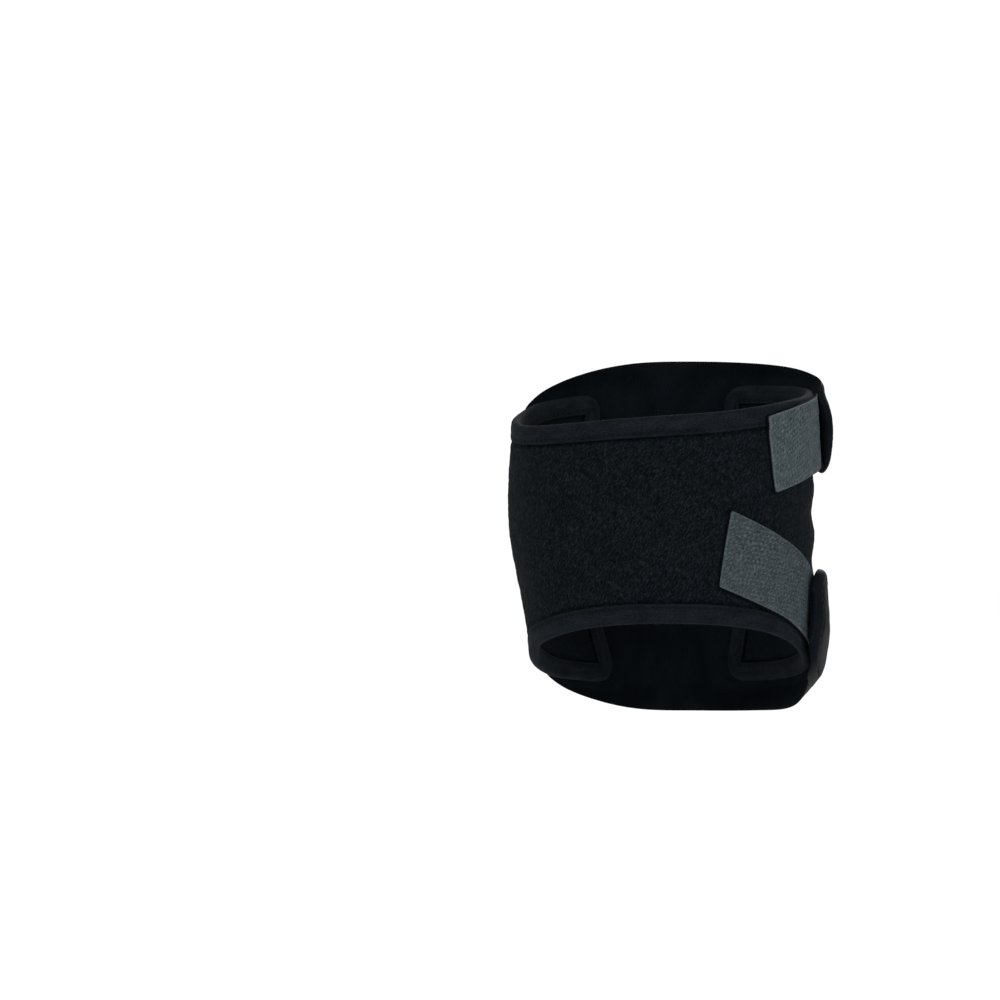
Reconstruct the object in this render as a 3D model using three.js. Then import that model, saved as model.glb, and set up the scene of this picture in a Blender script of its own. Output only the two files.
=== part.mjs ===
// A patella strap, as it sits on a knee: a wide wrap behind the knee with a bound edge, two padded straps
// that cross above and below the kneecap, and the two hook tabs that hold the straps to the wrap's looped
// face. Millimetres, +Z up the leg, the hollow of the knee towards -Y and the kneecap towards +Y. The
// origin is on the leg's axis, level with the kneecap.
//
// Every piece is drawn flat, in millimetres round the knee and millimetres up it, and wrapped round the
// knee's form. "turn" is an angle round the leg: 0 is the middle of the back, 90 the right side seen from
// behind, and 180 the middle of the kneecap. "rise" is a distance out from the skin.
import * as THREE from "three";

// The knee that the strap is fastened round.
const kneeWidth = 114;
const kneeDepth = 116;
const kneeReach = 75;
// The wrap: a neoprene panel with a looped outer face.
const panelHeight = 84;
const panelThickness = 3.2;
const panelStartDegrees = -148;
const panelEndDegrees = 143;
const kneecapNotch = 10;
const panelCorner = 10;
const skinGap = 0.4;
// The tape that is folded over the wrap's edge, which is pressed thinner inside it.
const hemWidth = 7;
const tapeThickness = 0.7;
const pressedThickness = 1.8;
// The padded straps.
const upperStrapRise = 54;
const upperStrapWidth = 38;
const upperStrapCorner = 9;
const lowerStrapDrop = 54;
const lowerStrapWidth = 42;
const lowerStrapCorner = 12;
const padThickness = 4.8;
const padEdgeThickness = 1.8;
const padDrape = 22;
const padEdgeDrape = 9;
const padBridgeShare = 0.35;
// The hook tabs.
const tabThickness = 1.4;
const upperTabWidth = 30;
const lowerTabWidth = 30;
const tabUnderStrap = 12;
const tabCorner = 1.2;
// The gap between pieces that lie on each other.
const clearance = 0.3;

// The knee's form from below the kneecap to above it. height is a share of kneeReach. left and right, seen
// from behind, are shares of half of kneeWidth, and back and front are shares of half of kneeDepth.
const kneeForm = [
  { height: -1.0, left: 0.835, right: 0.99, back: 0.915, front: 0.95 },
  { height: -0.6, left: 0.865, right: 0.978, back: 0.9, front: 0.985 },
  { height: -0.3, left: 0.93, right: 0.99, back: 0.88, front: 1.07 },
  { height: 0.0, left: 0.993, right: 0.997, back: 0.862, front: 1.15 },
  { height: 0.27, left: 1.01, right: 0.995, back: 0.88, front: 1.14 },
  { height: 0.6, left: 0.985, right: 1.003, back: 0.93, front: 1.07 },
  { height: 0.75, left: 0.983, right: 1.0, back: 0.945, front: 1.04 },
  { height: 1.0, left: 0.99, right: 1.08, back: 0.965, front: 1.0 },
];

// The wrap's upper and lower edges. turn is in degrees, and top and bottom are shares of panelHeight.
const panelEdges = [
  { turn: -165, top: 0.69, bottom: -0.73 },
  { turn: -125, top: 0.63, bottom: -0.685 },
  { turn: -105, top: 0.572, bottom: -0.63 },
  { turn: -90, top: 0.537, bottom: -0.575 },
  { turn: -76, top: 0.511, bottom: -0.512 },
  { turn: -60, top: 0.501, bottom: -0.466 },
  { turn: -40, top: 0.511, bottom: -0.42 },
  { turn: -20, top: 0.529, bottom: -0.396 },
  { turn: 0, top: 0.546, bottom: -0.392 },
  { turn: 20, top: 0.563, bottom: -0.401 },
  { turn: 40, top: 0.592, bottom: -0.433 },
  { turn: 57, top: 0.622, bottom: -0.483 },
  { turn: 70, top: 0.644, bottom: -0.54 },
  { turn: 85, top: 0.673, bottom: -0.605 },
  { turn: 105, top: 0.7, bottom: -0.66 },
  { turn: 125, top: 0.715, bottom: -0.695 },
  { turn: 160, top: 0.72, bottom: -0.72 },
];

// The middle lines of the straps and tabs. A strap runs from its fastened end, on the right, over the
// front to the end that is sewn to the wrap. height is a share of upperStrapRise or lowerStrapDrop, and
// width a share of the strap's or tab's width.
const upperStrapPath = [
  { turn: 83, height: 0.763, width: 1.0 },
  { turn: 100, height: 0.848, width: 1.0 },
  { turn: 120, height: 0.922, width: 0.98 },
  { turn: 140, height: 0.972, width: 0.95 },
  { turn: 160, height: 1.0, width: 0.92 },
  { turn: 180, height: 1.0, width: 0.91 },
  { turn: 195, height: 0.963, width: 0.93 },
  { turn: 210, height: 0.88, width: 0.96 },
  { turn: 225, height: 0.75, width: 0.99 },
  { turn: 240, height: 0.593, width: 1.0 },
];
const lowerStrapPath = [
  { turn: 72, height: -0.59, width: 1.0 },
  { turn: 90, height: -0.74, width: 1.0 },
  { turn: 105, height: -0.867, width: 0.99 },
  { turn: 120, height: -0.942, width: 0.97 },
  { turn: 140, height: -0.981, width: 0.94 },
  { turn: 160, height: -1.0, width: 0.92 },
  { turn: 180, height: -1.0, width: 0.91 },
  { turn: 195, height: -0.969, width: 0.93 },
  { turn: 210, height: -0.889, width: 0.96 },
  { turn: 225, height: -0.769, width: 0.99 },
  { turn: 240, height: -0.62, width: 1.0 },
];
const upperTabPath = [
  { turn: 42, height: 0.588, width: 1.0 },
  { turn: 62, height: 0.677, width: 0.98 },
  { turn: 83, height: 0.763, width: 0.96 },
];
const lowerTabPath = [
  { turn: 20.5, height: -0.085, width: 1.0 },
  { turn: 42, height: -0.252, width: 0.97 },
  { turn: 58, height: -0.385, width: 0.92 },
  { turn: 72, height: -0.54, width: 0.85 },
];

// How far each end leans from square to its strap or tab, in degrees: positive moves the upper corner
// along.
const upperStrapLeanDegrees = 2;
const lowerStrapLeanDegrees = -18;
const upperTabLeanDegrees = 3;
const lowerTabLeanDegrees = -9;

// How finely the pieces are divided.
const panelSteps = 46;
const panelRows = 8;
const strapSteps = 30;
const tabSteps = 12;

// Rises that the layers take from one another, from the skin outwards.
const panelMiddle = skinGap + panelThickness / 2;
const tapeOuter = panelMiddle + pressedThickness / 2 + clearance + tapeThickness;
const tabInner = tapeOuter + clearance;
const padInner = tapeOuter + clearance;
const padOverTab = tabInner + tabThickness + clearance;

// A smooth curve through a table's column, as a function of another column: cubic, with each row's slope
// taken from the rows beside it, and straight on beyond the table's ends.
function smooth(rows, from, to) {
  const x = rows.map((row) => row[from]);
  const y = rows.map((row) => row[to]);
  const last = rows.length - 1;
  const slope = x.map((_, i) => {
    const before = Math.max(i - 1, 0);
    const after = Math.min(i + 1, last);
    return (y[after] - y[before]) / (x[after] - x[before]);
  });
  return (at) => {
    if (at <= x[0]) return y[0] + slope[0] * (at - x[0]);
    if (at >= x[last]) return y[last] + slope[last] * (at - x[last]);
    const i = x.findIndex((value) => value > at) - 1;
    const span = x[i + 1] - x[i];
    const t = (at - x[i]) / span;
    const bend = t * t * (3 - 2 * t);
    const out = t * (1 - t) * (1 - t) * span * slope[i];
    const back = t * t * (t - 1) * span * slope[i + 1];
    return y[i] * (1 - bend) + y[i + 1] * bend + out + back;
  };
}

const formLeft = smooth(kneeForm, "height", "left");
const formRight = smooth(kneeForm, "height", "right");
const formBack = smooth(kneeForm, "height", "back");
const formFront = smooth(kneeForm, "height", "front");

// The point of the bare knee at a turn and a height.
function kneePoint(turn, height) {
  const angle = THREE.MathUtils.degToRad(turn);
  const level = height / kneeReach;
  const left = (kneeWidth / 2) * formLeft(level);
  const right = (kneeWidth / 2) * formRight(level);
  const back = (kneeDepth / 2) * formBack(level);
  const front = (kneeDepth / 2) * formFront(level);
  const depth = back + ((front - back) * (1 - Math.cos(angle))) / 2;
  const x = (right - left) / 2 + ((right + left) / 2) * Math.sin(angle);
  return new THREE.Vector3(x, -depth * Math.cos(angle), height);
}

// The same point moved out from the skin by a rise.
function wrap(turn, height, rise) {
  const step = 0.5;
  const round = kneePoint(turn + step, height).sub(kneePoint(turn - step, height));
  const up = kneePoint(turn, height + step).sub(kneePoint(turn, height - step));
  const normal = round.cross(up).normalize();
  return kneePoint(turn, height).addScaledVector(normal, rise);
}

// Millimetres round the knee to a degree of turn, from the girth level with the kneecap.
function millimetresPerDegree() {
  let girth = 0;
  for (let turn = 0; turn < 360; turn += 1) {
    girth += kneePoint(turn, 0).distanceTo(kneePoint(turn + 1, 0));
  }
  return girth / 360;
}
const perDegree = millimetresPerDegree();

const edgeTop = smooth(panelEdges, "turn", "top");
const edgeBottom = smooth(panelEdges, "turn", "bottom");
const panelTop = (turn) => panelHeight * edgeTop(turn);
const panelBottom = (turn) => panelHeight * edgeBottom(turn);

// A closed body between an outer and an inner sheet of points, from place(i, j), which gives a point's
// turn and height and the rises of its two sheets. i runs round the knee and j up it.
function slab(alongCount, acrossCount, place) {
  const positions = [];
  const index = [];
  const columns = acrossCount + 1;
  const sheet = (alongCount + 1) * columns;
  const at = (layer, i, j) => layer * sheet + i * columns + j;
  const places = [];
  for (let i = 0; i <= alongCount; i += 1) {
    for (let j = 0; j <= acrossCount; j += 1) {
      places.push(place(i, j));
    }
  }
  for (const p of places) positions.push(...wrap(p.turn, p.height, p.outer).toArray());
  for (const p of places) positions.push(...wrap(p.turn, p.height, p.inner).toArray());
  const quad = (a, b, c, d) => index.push(a, b, c, a, c, d);
  for (let i = 0; i < alongCount; i += 1) {
    for (let j = 0; j < acrossCount; j += 1) {
      quad(at(0, i, j), at(0, i + 1, j), at(0, i + 1, j + 1), at(0, i, j + 1));
      quad(at(1, i, j), at(1, i, j + 1), at(1, i + 1, j + 1), at(1, i + 1, j));
    }
    quad(at(1, i, 0), at(1, i + 1, 0), at(0, i + 1, 0), at(0, i, 0));
    const j = acrossCount;
    quad(at(0, i, j), at(0, i + 1, j), at(1, i + 1, j), at(1, i, j));
  }
  for (let j = 0; j < acrossCount; j += 1) {
    quad(at(0, 0, j), at(0, 0, j + 1), at(1, 0, j + 1), at(1, 0, j));
    const i = alongCount;
    quad(at(1, i, j), at(1, i, j + 1), at(0, i, j + 1), at(0, i, j));
  }
  return bufferOf(positions, index);
}

function bufferOf(positions, index) {
  const geometry = new THREE.BufferGeometry();
  geometry.setAttribute("position", new THREE.Float32BufferAttribute(positions, 3));
  geometry.setIndex(index);
  geometry.computeVertexNormals();
  return geometry;
}

// How far a rounded corner draws back at a distance from the edge beside it.
function drawnBack(radius, distance) {
  if (distance >= radius) return 0;
  return radius - Math.sqrt(radius * radius - (radius - distance) ** 2);
}

// Distances from the wrap's edges at which points lie: closer in the corners and at the step of the hem.
const hemStep = 0.4;
const edgeDistances = [0, panelCorner * 0.08, panelCorner * 0.32, hemWidth, hemWidth + hemStep];

// Where points lie between two edges of the wrap: at those distances from each edge, and evenly between. A
// spot is a share of the way across and a shift from there.
function spots(steps) {
  const margin = edgeDistances[edgeDistances.length - 1];
  const near = edgeDistances.map((distance) => ({ share: 0, shift: distance }));
  const far = edgeDistances.map((distance) => ({ share: 1, shift: -distance })).reverse();
  const between = [];
  for (let n = 1; n < steps; n += 1) {
    between.push({ share: n / steps, shift: margin * (1 - (2 * n) / steps) });
  }
  return [...near, ...between, ...far];
}
const panelLines = spots(panelSteps);
const panelLevels = spots(panelRows);

function placeBetween(low, high, spot) {
  return low + spot.share * (high - low) + spot.shift;
}

// The flat place of a point of the wrap, in millimetres. The ends are hollowed towards the kneecap, and
// their corners are rounded by drawing the lines beside them back.
function panelPlace(line, level) {
  const endHeight = panelTop(panelEndDegrees) - panelBottom(panelEndDegrees);
  const up = placeBetween(0, endHeight, level);
  const reach = kneecapNotch * ((2 * up) / endHeight - 1) ** 2;
  const start = panelStartDegrees * perDegree - reach;
  const finish = panelEndDegrees * perDegree + reach;
  const along = placeBetween(start, finish, line);
  const beside = (distance) => Math.max(0, 1 - distance / (2 * panelCorner));
  const corner = drawnBack(panelCorner, Math.min(up, endHeight - up));
  const round = along + corner * (beside(along - start) - beside(finish - along));
  const turn = round / perDegree;
  return new THREE.Vector2(round, placeBetween(panelBottom(turn), panelTop(turn), level));
}

// The wrap's outline, once round, as flat points in millimetres.
function panelOutline() {
  const lastLine = panelLines.length - 1;
  const lastLevel = panelLevels.length - 1;
  const round = [];
  for (let i = 0; i < lastLine; i += 1) round.push([i, 0]);
  for (let j = 0; j < lastLevel; j += 1) round.push([lastLine, j]);
  for (let i = lastLine; i > 0; i -= 1) round.push([i, lastLevel]);
  for (let j = lastLevel; j > 0; j -= 1) round.push([0, j]);
  return round.map(([i, j]) => panelPlace(panelLines[i], panelLevels[j]));
}
const outline = panelOutline();

// How far a flat point is from the wrap's outline.
function distanceToOutline(point) {
  let nearest = Infinity;
  outline.forEach((from, i) => {
    const along = outline[(i + 1) % outline.length].clone().sub(from);
    const share = THREE.MathUtils.clamp(point.clone().sub(from).dot(along) / along.lengthSq(), 0, 1);
    nearest = Math.min(nearest, point.distanceTo(from.clone().addScaledVector(along, share)));
  });
  return nearest;
}

function panelGeometry() {
  return slab(panelLines.length - 1, panelLevels.length - 1, (i, j) => {
    const flat = panelPlace(panelLines[i], panelLevels[j]);
    const pressed = distanceToOutline(flat) < hemWidth + hemStep * 0.9;
    const half = (pressed ? pressedThickness : panelThickness) / 2;
    const turn = flat.x / perDegree;
    return { turn, height: flat.y, outer: panelMiddle + half, inner: panelMiddle - half };
  });
}

// The folded tape's section: "inward" is a distance from the wrap's edge into the wrap, and "out" a
// distance from the middle of the wrap's thickness.
function tapeSection() {
  const inside = pressedThickness / 2 + clearance;
  const outside = inside + tapeThickness;
  const leg = hemWidth - 2 * clearance;
  const beyond = clearance + tapeThickness;
  return [
    { inward: leg, out: outside },
    { inward: -beyond / 2, out: outside },
    { inward: -beyond, out: 0 },
    { inward: -beyond / 2, out: -outside },
    { inward: leg, out: -outside },
    { inward: leg, out: -inside },
    { inward: -clearance, out: -inside },
    { inward: -clearance, out: inside },
    { inward: leg, out: inside },
  ];
}

function tapeGeometry() {
  const section = tapeSection();
  const count = outline.length;
  const positions = [];
  const index = [];
  outline.forEach((point, i) => {
    const before = outline[(i + count - 1) % count];
    const after = outline[(i + 1) % count];
    const ahead = after.clone().sub(before).normalize();
    const inward = new THREE.Vector2(-ahead.y, ahead.x);
    for (const corner of section) {
      const flat = point.clone().addScaledVector(inward, corner.inward);
      positions.push(...wrap(flat.x / perDegree, flat.y, panelMiddle + corner.out).toArray());
    }
  });
  const size = section.length;
  for (let i = 0; i < count; i += 1) {
    const next = (i + 1) % count;
    for (let j = 0; j < size; j += 1) {
      const k = (j + 1) % size;
      const [a, b, c, d] = [i * size + j, i * size + k, next * size + k, next * size + j];
      index.push(a, b, c, a, c, d);
    }
  }
  return bufferOf(positions, index);
}

// A strip along a path: its length, and the flat place of a point at a distance along it and across it. An
// end that leans is sheared over the stretch beside it.
function strip(path, size, width, lean) {
  const curve = new THREE.SplineCurve(
    path.map((row) => new THREE.Vector2(row.turn * perDegree, row.height * size)),
  );
  const length = curve.getLength();
  const shares = path.map((row, i) => ({ at: i / (path.length - 1), width: row.width }));
  const widthShare = smooth(shares, "at", "width");
  const shear = Math.tan(THREE.MathUtils.degToRad(lean));
  return {
    length,
    halfWidth: (distance) => (width / 2) * widthShare(THREE.MathUtils.clamp(distance / length, 0, 1)),
    place(distance, across) {
      const fade = Math.max(0, 1 - distance / (length / 2));
      const moved = distance + across * shear * fade;
      const share = THREE.MathUtils.clamp(moved / length, 0, 1);
      const ahead = curve.getTangentAt(share);
      const point = curve.getPointAt(share).addScaledVector(ahead, moved - share * length);
      point.addScaledVector(new THREE.Vector2(-ahead.y, ahead.x), across);
      return { turn: point.x / perDegree, height: point.y };
    },
  };
}

// Distances along a strip of a length, closer together at its two rounded ends.
function stations(length, corner, steps) {
  const near = [0, corner * 0.07, corner * 0.28, corner * 0.62];
  const far = near.map((distance) => length - distance).reverse();
  const between = [];
  for (let n = 0; n <= steps; n += 1) between.push(corner + ((length - 2 * corner) * n) / steps);
  return [...near, ...between, ...far];
}

// How much of a layer's thickness a strap over it rises by: all of it over the layer, and none where the
// strap is clear of it. above and ahead are how far the strap's point lies outside the layer.
function carriedShare(above, ahead) {
  const outside = Math.hypot(above / padEdgeDrape, ahead / padDrape);
  return 1 - THREE.MathUtils.smoothstep(outside, padBridgeShare, 1);
}

function carriedByWrap(turn, height) {
  const fromBack = turn > 180 ? turn - 360 : turn;
  const level = (2 * (height - panelBottom(fromBack))) / (panelTop(fromBack) - panelBottom(fromBack)) - 1;
  const reach = kneecapNotch * Math.min(1, level * level);
  const above = Math.max(0, height - panelTop(fromBack), panelBottom(fromBack) - height);
  const past = fromBack > 0 ? fromBack - panelEndDegrees : panelStartDegrees - fromBack;
  return carriedShare(above, Math.max(0, past * perDegree - reach));
}

function carriedByTab(run, half, turn, height) {
  let nearest = Infinity;
  for (let step = 0; step <= tabSteps; step += 1) {
    const middle = run.place(((run.length + tabUnderStrap) * step) / tabSteps, 0);
    nearest = Math.min(nearest, Math.hypot((turn - middle.turn) * perDegree, height - middle.height));
  }
  return carriedShare(Math.max(0, nearest - half), 0);
}

// A padded strap: domed across, thin at its edges, carried by the wrap and falling to the skin beyond it.
// Its fastened end also rises over its tab.
function strapGeometry(run, corner, tabRun, tabWidth) {
  const lines = stations(run.length, corner, strapSteps);
  const across = [-1, -0.96, -0.86, -0.7, -0.48, -0.24, 0, 0.24, 0.48, 0.7, 0.86, 0.96, 1];
  return slab(lines.length - 1, across.length - 1, (i, j) => {
    const distance = lines[i];
    const toEnd = Math.min(distance, run.length - distance);
    const half = run.halfWidth(distance) - drawnBack(corner, toEnd);
    const offset = across[j] * half;
    const { turn, height } = run.place(distance, offset);
    const share = Math.abs(across[j]);
    const dome = 1 - share ** 3;
    const rim = Math.sqrt(Math.max(0.06, 1 - share ** 24)) * Math.sqrt(Math.min(1, 0.3 + toEnd / corner));
    const thickness = (padEdgeThickness + (padThickness - padEdgeThickness) * dome) * rim;
    const onWrap = carriedByWrap(turn, height);
    const onTab = carriedByTab(tabRun, tabWidth / 2, turn, height);
    const inner = skinGap + (padInner - skinGap) * onWrap + (padOverTab - padInner) * onTab;
    return { turn, height, inner, outer: inner + thickness };
  });
}

// A hook tab: flat, square-ended, from its free end to its root under the strap.
function tabGeometry(run) {
  const whole = run.length + tabUnderStrap;
  const lines = stations(whole, tabCorner, tabSteps);
  const across = [-1, -0.5, 0, 0.5, 1];
  return slab(lines.length - 1, across.length - 1, (i, j) => {
    const distance = lines[i];
    const toEnd = Math.min(distance, whole - distance);
    const half = run.halfWidth(distance) - drawnBack(tabCorner, toEnd);
    const { turn, height } = run.place(distance, across[j] * half);
    return { turn, height, inner: tabInner, outer: tabInner + tabThickness };
  });
}

function material(color, roughness) {
  return new THREE.MeshStandardMaterial({ color, roughness, metalness: 0 });
}
const loopFace = material(0x11151a, 0.95);
const tape = material(0x171b1f, 0.8);
const padFace = material(0x12161a, 0.75);
const hookTape = material(0x434c4f, 0.85);

const patellaStrap = new THREE.Group();

function add(name, geometry, finish) {
  const mesh = new THREE.Mesh(geometry, finish);
  mesh.name = name;
  patellaStrap.add(mesh);
}

const upperTab = strip(upperTabPath, upperStrapRise, upperTabWidth, upperTabLeanDegrees);
const lowerTab = strip(lowerTabPath, lowerStrapDrop, lowerTabWidth, lowerTabLeanDegrees);
const upperStrap = strip(upperStrapPath, upperStrapRise, upperStrapWidth, upperStrapLeanDegrees);
const lowerStrap = strip(lowerStrapPath, lowerStrapDrop, lowerStrapWidth, lowerStrapLeanDegrees);

add("wrap_panel", panelGeometry(), loopFace);
add("edge_binding", tapeGeometry(), tape);
add("upper_strap", strapGeometry(upperStrap, upperStrapCorner, upperTab, upperTabWidth), padFace);
add("lower_strap", strapGeometry(lowerStrap, lowerStrapCorner, lowerTab, lowerTabWidth), padFace);
add("upper_hook_tab", tabGeometry(upperTab), hookTape);
add("lower_hook_tab", tabGeometry(lowerTab), hookTape);

export default patellaStrap;
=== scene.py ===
# A patella strap in cloth, tape and padding: a looped wrap behind the knee with a bound edge, two padded
# straps, and the two grey hook tabs that hold them. Lengths are in millimetres until a mesh is made, and
# every piece is drawn flat and wrapped round the knee's form.
import math

import bpy
import numpy as np
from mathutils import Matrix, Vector


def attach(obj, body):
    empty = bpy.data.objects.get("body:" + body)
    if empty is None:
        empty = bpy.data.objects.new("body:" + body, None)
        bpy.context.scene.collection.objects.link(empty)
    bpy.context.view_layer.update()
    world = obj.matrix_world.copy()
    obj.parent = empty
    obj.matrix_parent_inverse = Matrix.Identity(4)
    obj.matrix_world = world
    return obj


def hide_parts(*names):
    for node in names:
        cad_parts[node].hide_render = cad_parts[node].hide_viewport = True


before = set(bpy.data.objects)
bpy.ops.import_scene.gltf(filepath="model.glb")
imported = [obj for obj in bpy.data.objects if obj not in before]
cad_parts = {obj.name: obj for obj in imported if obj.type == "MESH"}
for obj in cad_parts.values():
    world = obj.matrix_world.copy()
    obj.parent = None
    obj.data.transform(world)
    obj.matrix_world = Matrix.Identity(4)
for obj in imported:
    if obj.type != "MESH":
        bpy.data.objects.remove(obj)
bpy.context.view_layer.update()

MM = 0.001

# The knee that the strap is fastened round, and the wrap.
KNEE_WIDTH = 114
KNEE_DEPTH = 116
KNEE_REACH = 75
PANEL_HEIGHT = 84
PANEL_THICKNESS = 3.2
PANEL_START = -148
PANEL_END = 143
KNEECAP_NOTCH = 10
PANEL_CORNER = 10
SKIN_GAP = 0.4
HEM_WIDTH = 7
TAPE_THICKNESS = 0.7
PRESSED_THICKNESS = 1.8
CLEARANCE = 0.3

# The folded tape: how far in the middle of its fold lies, how far its legs reach in, where they are sewn, and
# its width laid flat.
TAPE_FOLD = 0.9
TAPE_LEG = HEM_WIDTH - 0.25
TAPE_SEAM = TAPE_LEG - 1.5

# The padded straps and the hook tabs.
UPPER_RISE = 54
UPPER_WIDTH = 38
UPPER_CORNER = 9
LOWER_DROP = 54
LOWER_WIDTH = 42
LOWER_CORNER = 13
PAD_DRAPE = 22
PAD_EDGE_DRAPE = 13
PAD_BRIDGE = 0.3
PAD_SQUARE = 2.2
PAD_CURL = 0.28
STRAP_SEAM = 3.6
TAB_THICKNESS = 1.25
UPPER_TAB_WIDTH = 30
LOWER_TAB_WIDTH = 30
TAB_UNDER_STRAP = 11
TAB_CORNER = 0.8
WEAVE_RELIEF = 0.075

# The layers of a tab, as rises from its underside: the black hook side, spread past the cut edges, and the
# underside of the grey tape over it. Where the black hook side shows past the tape, it is partly the hooks
# and partly a painted shadow line under the tab.
HOOKS_LOW = -0.2
HOOKS_HIGH = 0.36
HOOKS_SHADOW_SPREAD = 0.6
TAB_TAPE_LOW = 0.42

# The stitches.
STITCH_RADIUS = 0.19
HEM_STITCH_PITCH = 2.9
HEM_STITCH_LENGTH = HEM_STITCH_PITCH * 0.72
STRAP_STITCH_PITCH = 3.1
STRAP_STITCH_LENGTH = 2.2

# Rises of the layers from the skin outwards.
PANEL_MIDDLE = SKIN_GAP + PANEL_THICKNESS / 2
TAPE_OUTER = PANEL_MIDDLE + PRESSED_THICKNESS / 2 + CLEARANCE + TAPE_THICKNESS
TAB_ABOVE_LOOPS = 0.15
TAB_ON_LOOPS = SKIN_GAP + PANEL_THICKNESS + TAB_ABOVE_LOOPS
TAB_ON_TAPE = TAPE_OUTER + CLEARANCE
PAD_INNER = TAPE_OUTER + CLEARANCE
PAD_OVER_TAB = TAB_ON_TAPE + TAB_THICKNESS + CLEARANCE

# The knee's form. Columns: height as a share of KNEE_REACH, then left and right as shares of half of
# KNEE_WIDTH and back and front as shares of half of KNEE_DEPTH.
KNEE_FORM = [
    (-1.0, 0.835, 0.99, 0.915, 0.95),
    (-0.6, 0.865, 0.978, 0.9, 0.985),
    (-0.3, 0.93, 0.99, 0.88, 1.07),
    (0.0, 0.993, 0.997, 0.862, 1.15),
    (0.27, 1.01, 0.995, 0.88, 1.14),
    (0.6, 0.985, 1.003, 0.93, 1.07),
    (0.75, 0.983, 1.0, 0.945, 1.04),
    (1.0, 0.99, 1.08, 0.965, 1.0),
]

# The wrap's edges. Columns: turn in degrees from the middle of the back, then the top and the bottom as
# shares of PANEL_HEIGHT.
PANEL_EDGES = [
    (-165, 0.69, -0.73),
    (-125, 0.63, -0.685),
    (-105, 0.572, -0.63),
    (-90, 0.537, -0.575),
    (-76, 0.511, -0.512),
    (-60, 0.501, -0.466),
    (-40, 0.511, -0.42),
    (-20, 0.529, -0.396),
    (0, 0.546, -0.392),
    (20, 0.563, -0.401),
    (40, 0.592, -0.433),
    (57, 0.622, -0.483),
    (70, 0.644, -0.54),
    (85, 0.673, -0.605),
    (105, 0.7, -0.66),
    (125, 0.715, -0.695),
    (160, 0.72, -0.72),
]

# Middle lines of the straps and tabs. Columns: turn, height as a share of the rise or drop, and share of the
# width.
UPPER_STRAP = [
    (83, 0.763, 1.0),
    (100, 0.848, 1.0),
    (120, 0.922, 0.98),
    (140, 0.972, 0.95),
    (160, 1.0, 0.92),
    (180, 1.0, 0.91),
    (195, 0.963, 0.93),
    (210, 0.88, 0.96),
    (225, 0.75, 0.99),
    (240, 0.593, 1.0),
]
LOWER_STRAP = [
    (65.2, -0.572, 0.97),
    (90, -0.74, 1.0),
    (105, -0.867, 0.99),
    (120, -0.942, 0.97),
    (140, -0.981, 0.94),
    (160, -1.0, 0.92),
    (180, -1.0, 0.91),
    (195, -0.969, 0.93),
    (210, -0.889, 0.96),
    (225, -0.769, 0.99),
    (240, -0.62, 1.0),
]
UPPER_TAB = [(42, 0.588, 1.0), (62, 0.677, 0.98), (83, 0.763, 0.96)]
LOWER_TAB = [(21.4, -0.09, 1.0), (42, -0.252, 0.97), (58, -0.385, 0.92), (72, -0.54, 0.85)]

# How far each end leans from square, in degrees.
UPPER_STRAP_LEAN = 2
LOWER_STRAP_LEAN = -17
UPPER_TAB_LEAN = 3
LOWER_TAB_LEAN = -11

# How finely the wrap and its outline are drawn.
PANEL_LINE_COUNT = 410
PANEL_LEVEL_COUNT = 86
OUTLINE_COUNT = 840

# Colours that several cloths share: the tint of their sheen, and the painted shade laid along a sewn-in
# groove.
COOL_SHEEN = (0.7, 0.8, 0.9)
GROOVE_PAINTED_SHADE = (0.0003, 0.0005, 0.0007)

# The view: the camera looks along +Y from behind the knee, and the frame is as wide as VIEW_WIDTH there.
VIEW_DISTANCE = 1500
VIEW_WIDTH = 400
VIEW_X = -64.6
VIEW_Z = 14
SENSOR = 36
FLOOR_Z = -230


# Smooth curves and the wrapping of flat drawings round the knee


def smooth(rows, column):
    """A cubic through one column of a table against its first, straight on beyond the ends."""
    places = np.array([row[0] for row in rows], float)
    values = np.array([row[column] for row in rows], float)
    last = len(places) - 1
    before = np.maximum(np.arange(last + 1) - 1, 0)
    after = np.minimum(np.arange(last + 1) + 1, last)
    slope = (values[after] - values[before]) / (places[after] - places[before])

    def curve(at):
        at = np.asarray(at, float)
        held = np.clip(at, places[0], places[last])
        low = np.clip(np.searchsorted(places, held, "right") - 1, 0, last - 1)
        high = low + 1
        span = places[high] - places[low]
        share = (held - places[low]) / span
        bend = share * share * (3 - 2 * share)
        value = values[low] * (1 - bend) + values[high] * bend
        value = value + share * (1 - share) ** 2 * span * slope[low]
        value = value + share * share * (share - 1) * span * slope[high]
        beyond = np.where(at < places[0], slope[0], slope[last])
        return value + (at - held) * beyond

    return curve


FORM_LEFT, FORM_RIGHT, FORM_BACK, FORM_FRONT = (smooth(KNEE_FORM, column) for column in (1, 2, 3, 4))
EDGE_TOP, EDGE_BOTTOM = smooth(PANEL_EDGES, 1), smooth(PANEL_EDGES, 2)


def knee_point(turn, height):
    """Points of the bare knee at turns in degrees and heights in millimetres."""
    angle = np.radians(turn)
    level = height / KNEE_REACH
    left = KNEE_WIDTH / 2 * FORM_LEFT(level)
    right = KNEE_WIDTH / 2 * FORM_RIGHT(level)
    back = KNEE_DEPTH / 2 * FORM_BACK(level)
    front = KNEE_DEPTH / 2 * FORM_FRONT(level)
    depth = back + (front - back) * (1 - np.cos(angle)) / 2
    x = (right - left) / 2 + (right + left) / 2 * np.sin(angle)
    return np.stack([x, -depth * np.cos(angle), height + 0 * x], axis=-1)


def unit(vectors):
    return vectors / np.maximum(np.linalg.norm(vectors, axis=-1, keepdims=True), 1e-12)


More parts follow.
